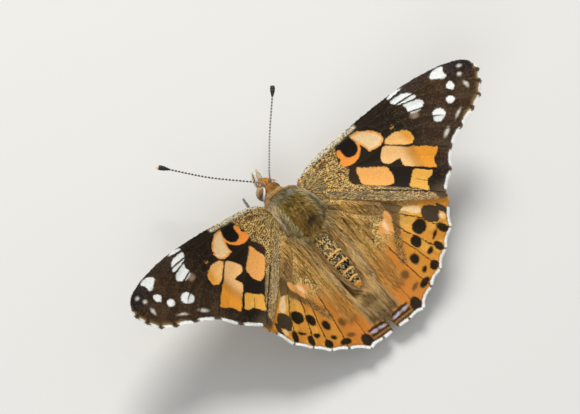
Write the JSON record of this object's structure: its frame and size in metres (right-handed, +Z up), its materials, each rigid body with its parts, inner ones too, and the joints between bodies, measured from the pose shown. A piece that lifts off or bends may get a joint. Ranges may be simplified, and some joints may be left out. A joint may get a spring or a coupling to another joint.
{
  "type": "painted lady butterfly",
  "caption": "Life-size still model of an orange, black and white butterfly, wings spread flat, standing on its feet.",
  "frame": {"origin": "on the floor, under the middle of the whole model's box", "axes": "-Y towards the head, +Y towards the tail, +X to the animal's left, +Z up"},
  "size_m": [0.0636, 0.0362, 0.0134],
  "materials": {
    "wing_scales": "matte",
    "body_fur": "matte",
    "abdomen_fur": "matte",
    "eye_brown": "gloss",
    "antenna_dark": "satin",
    "palp_pale": "matte",
    "leg_tan": "satin",
    "proboscis_brown": "satin"
  },
  "bodies": {
    "root": {"thorax": "body_fur", "abdomen": "abdomen_fur", "head": "body_fur", "eye_left": "eye_brown", "eye_right": "eye_brown", "antenna_left": "antenna_dark", "antenna_right": "antenna_dark", "palp_left": "palp_pale", "palp_right": "palp_pale", "proboscis": "proboscis_brown", "forewing_left": "wing_scales", "forewing_right": "wing_scales", "hindwing_left": "wing_scales", "hindwing_right": "wing_scales", "foreleg_left": "leg_tan", "foreleg_right": "leg_tan", "midleg_left": "leg_tan", "midleg_right": "leg_tan", "hindleg_left": "leg_tan", "hindleg_right": "leg_tan"}
  },
  "joints": []
}
